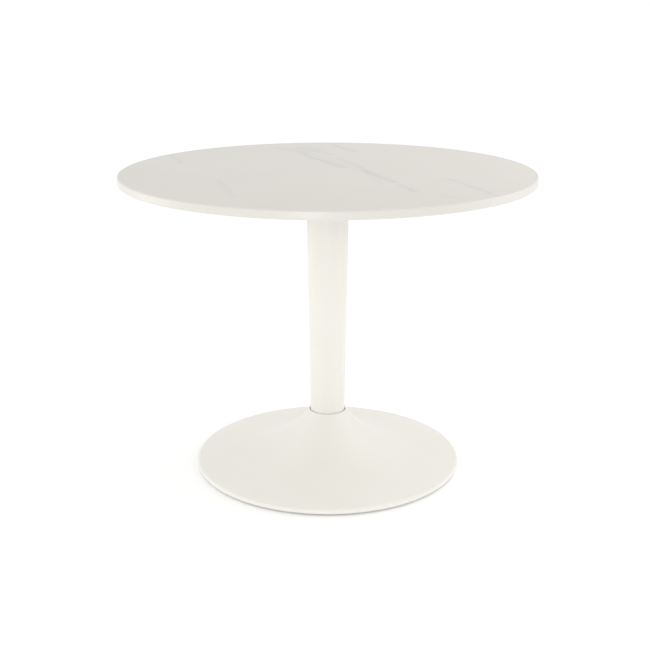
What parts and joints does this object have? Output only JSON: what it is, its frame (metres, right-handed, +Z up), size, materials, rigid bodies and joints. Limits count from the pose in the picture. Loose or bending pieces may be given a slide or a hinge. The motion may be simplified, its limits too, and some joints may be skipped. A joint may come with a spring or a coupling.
{
  "type": "round pedestal table",
  "caption": "Round dining table: marble-effect top with rounded edge on a tapered steel column and a trumpet base with screw-adjusted levelling glides.",
  "frame": {"origin": "on the floor at the centre of the base", "axes": "+Z up along the column; +X runs through the first levelling glide; the table is round, so +Y is any side"},
  "size_m": [0.9999, 1, 0.75],
  "materials": {
    "marble_laminate": "satin off-white marble pattern with soft grey veins",
    "lacquered_board": "satin cream lacquer on fibreboard",
    "backing_laminate": "matt off-white laminate",
    "powder_coat": "fine-textured matt cream powder coat",
    "black_steel": "matt black coated steel",
    "zinc_steel": "bright zinc plate",
    "nylon": "moulded off-white nylon"
  },
  "bodies": {
    "table": {"marble_face": "marble_laminate", "top_board": "lacquered_board", "backing_sheet": "backing_laminate", "insert_nuts": "zinc_steel", "mount_plate": "black_steel", "mount_screws": "zinc_steel", "mount_washers": "zinc_steel", "head_bolts": "zinc_steel", "column_tube": "powder_coat", "column_foot": "black_steel", "column_head": "black_steel", "base_shell": "powder_coat", "neck_bush": "nylon", "base_plate": "black_steel", "foot_bolts": "zinc_steel"},
    "pad_1": {"glide_pad_1": "nylon"},
    "stud_1": {"glide_stud_1": "zinc_steel"},
    "pad_2": {"glide_pad_2": "nylon"},
    "stud_2": {"glide_stud_2": "zinc_steel"},
    "pad_3": {"glide_pad_3": "nylon"},
    "stud_3": {"glide_stud_3": "zinc_steel"},
    "pad_4": {"glide_pad_4": "nylon"},
    "stud_4": {"glide_stud_4": "zinc_steel"},
    "pad_5": {"glide_pad_5": "nylon"},
    "stud_5": {"glide_stud_5": "zinc_steel"},
    "pad_6": {"glide_pad_6": "nylon"},
    "stud_6": {"glide_stud_6": "zinc_steel"}
  },
  "joints": [
    {"name": "glide_1_travel", "type": "slide", "parent": "table", "child": "pad_1", "axis": [0, 0, -1], "range_m": [0, 0.005]},
    {"name": "glide_1_turn", "type": "hinge", "parent": "pad_1", "child": "stud_1", "pos_m": [0.2885, 0, 0.008], "axis": [0, 0, -1], "range_deg": [0, 1440]},
    {"name": "glide_2_travel", "type": "slide", "parent": "table", "child": "pad_2", "axis": [0, 0, -1], "range_m": [0, 0.005]},
    {"name": "glide_2_turn", "type": "hinge", "parent": "pad_2", "child": "stud_2", "pos_m": [0.14425, 0.24985, 0.008], "axis": [0, 0, -1], "range_deg": [0, 1440]},
    {"name": "glide_3_travel", "type": "slide", "parent": "table", "child": "pad_3", "axis": [0, 0, -1], "range_m": [0, 0.005]},
    {"name": "glide_3_turn", "type": "hinge", "parent": "pad_3", "child": "stud_3", "pos_m": [-0.14425, 0.24985, 0.008], "axis": [0, 0, -1], "range_deg": [0, 1440]},
    {"name": "glide_4_travel", "type": "slide", "parent": "table", "child": "pad_4", "axis": [0, 0, -1], "range_m": [0, 0.005]},
    {"name": "glide_4_turn", "type": "hinge", "parent": "pad_4", "child": "stud_4", "pos_m": [-0.2885, 0, 0.008], "axis": [0, 0, -1], "range_deg": [0, 1440]},
    {"name": "glide_5_travel", "type": "slide", "parent": "table", "child": "pad_5", "axis": [0, 0, -1], "range_m": [0, 0.005]},
    {"name": "glide_5_turn", "type": "hinge", "parent": "pad_5", "child": "stud_5", "pos_m": [-0.14425, -0.24985, 0.008], "axis": [0, 0, -1], "range_deg": [0, 1440]},
    {"name": "glide_6_travel", "type": "slide", "parent": "table", "child": "pad_6", "axis": [0, 0, -1], "range_m": [0, 0.005]},
    {"name": "glide_6_turn", "type": "hinge", "parent": "pad_6", "child": "stud_6", "pos_m": [0.14425, -0.24985, 0.008], "axis": [0, 0, -1], "range_deg": [0, 1440]}
  ],
  "couplings": [
    {"joint": "glide_1_travel", "follows": "glide_1_turn", "m_per_rad": 0.00019894},
    {"joint": "glide_2_travel", "follows": "glide_2_turn", "m_per_rad": 0.00019894},
    {"joint": "glide_3_travel", "follows": "glide_3_turn", "m_per_rad": 0.00019894},
    {"joint": "glide_4_travel", "follows": "glide_4_turn", "m_per_rad": 0.00019894},
    {"joint": "glide_5_travel", "follows": "glide_5_turn", "m_per_rad": 0.00019894},
    {"joint": "glide_6_travel", "follows": "glide_6_turn", "m_per_rad": 0.00019894}
  ]
}
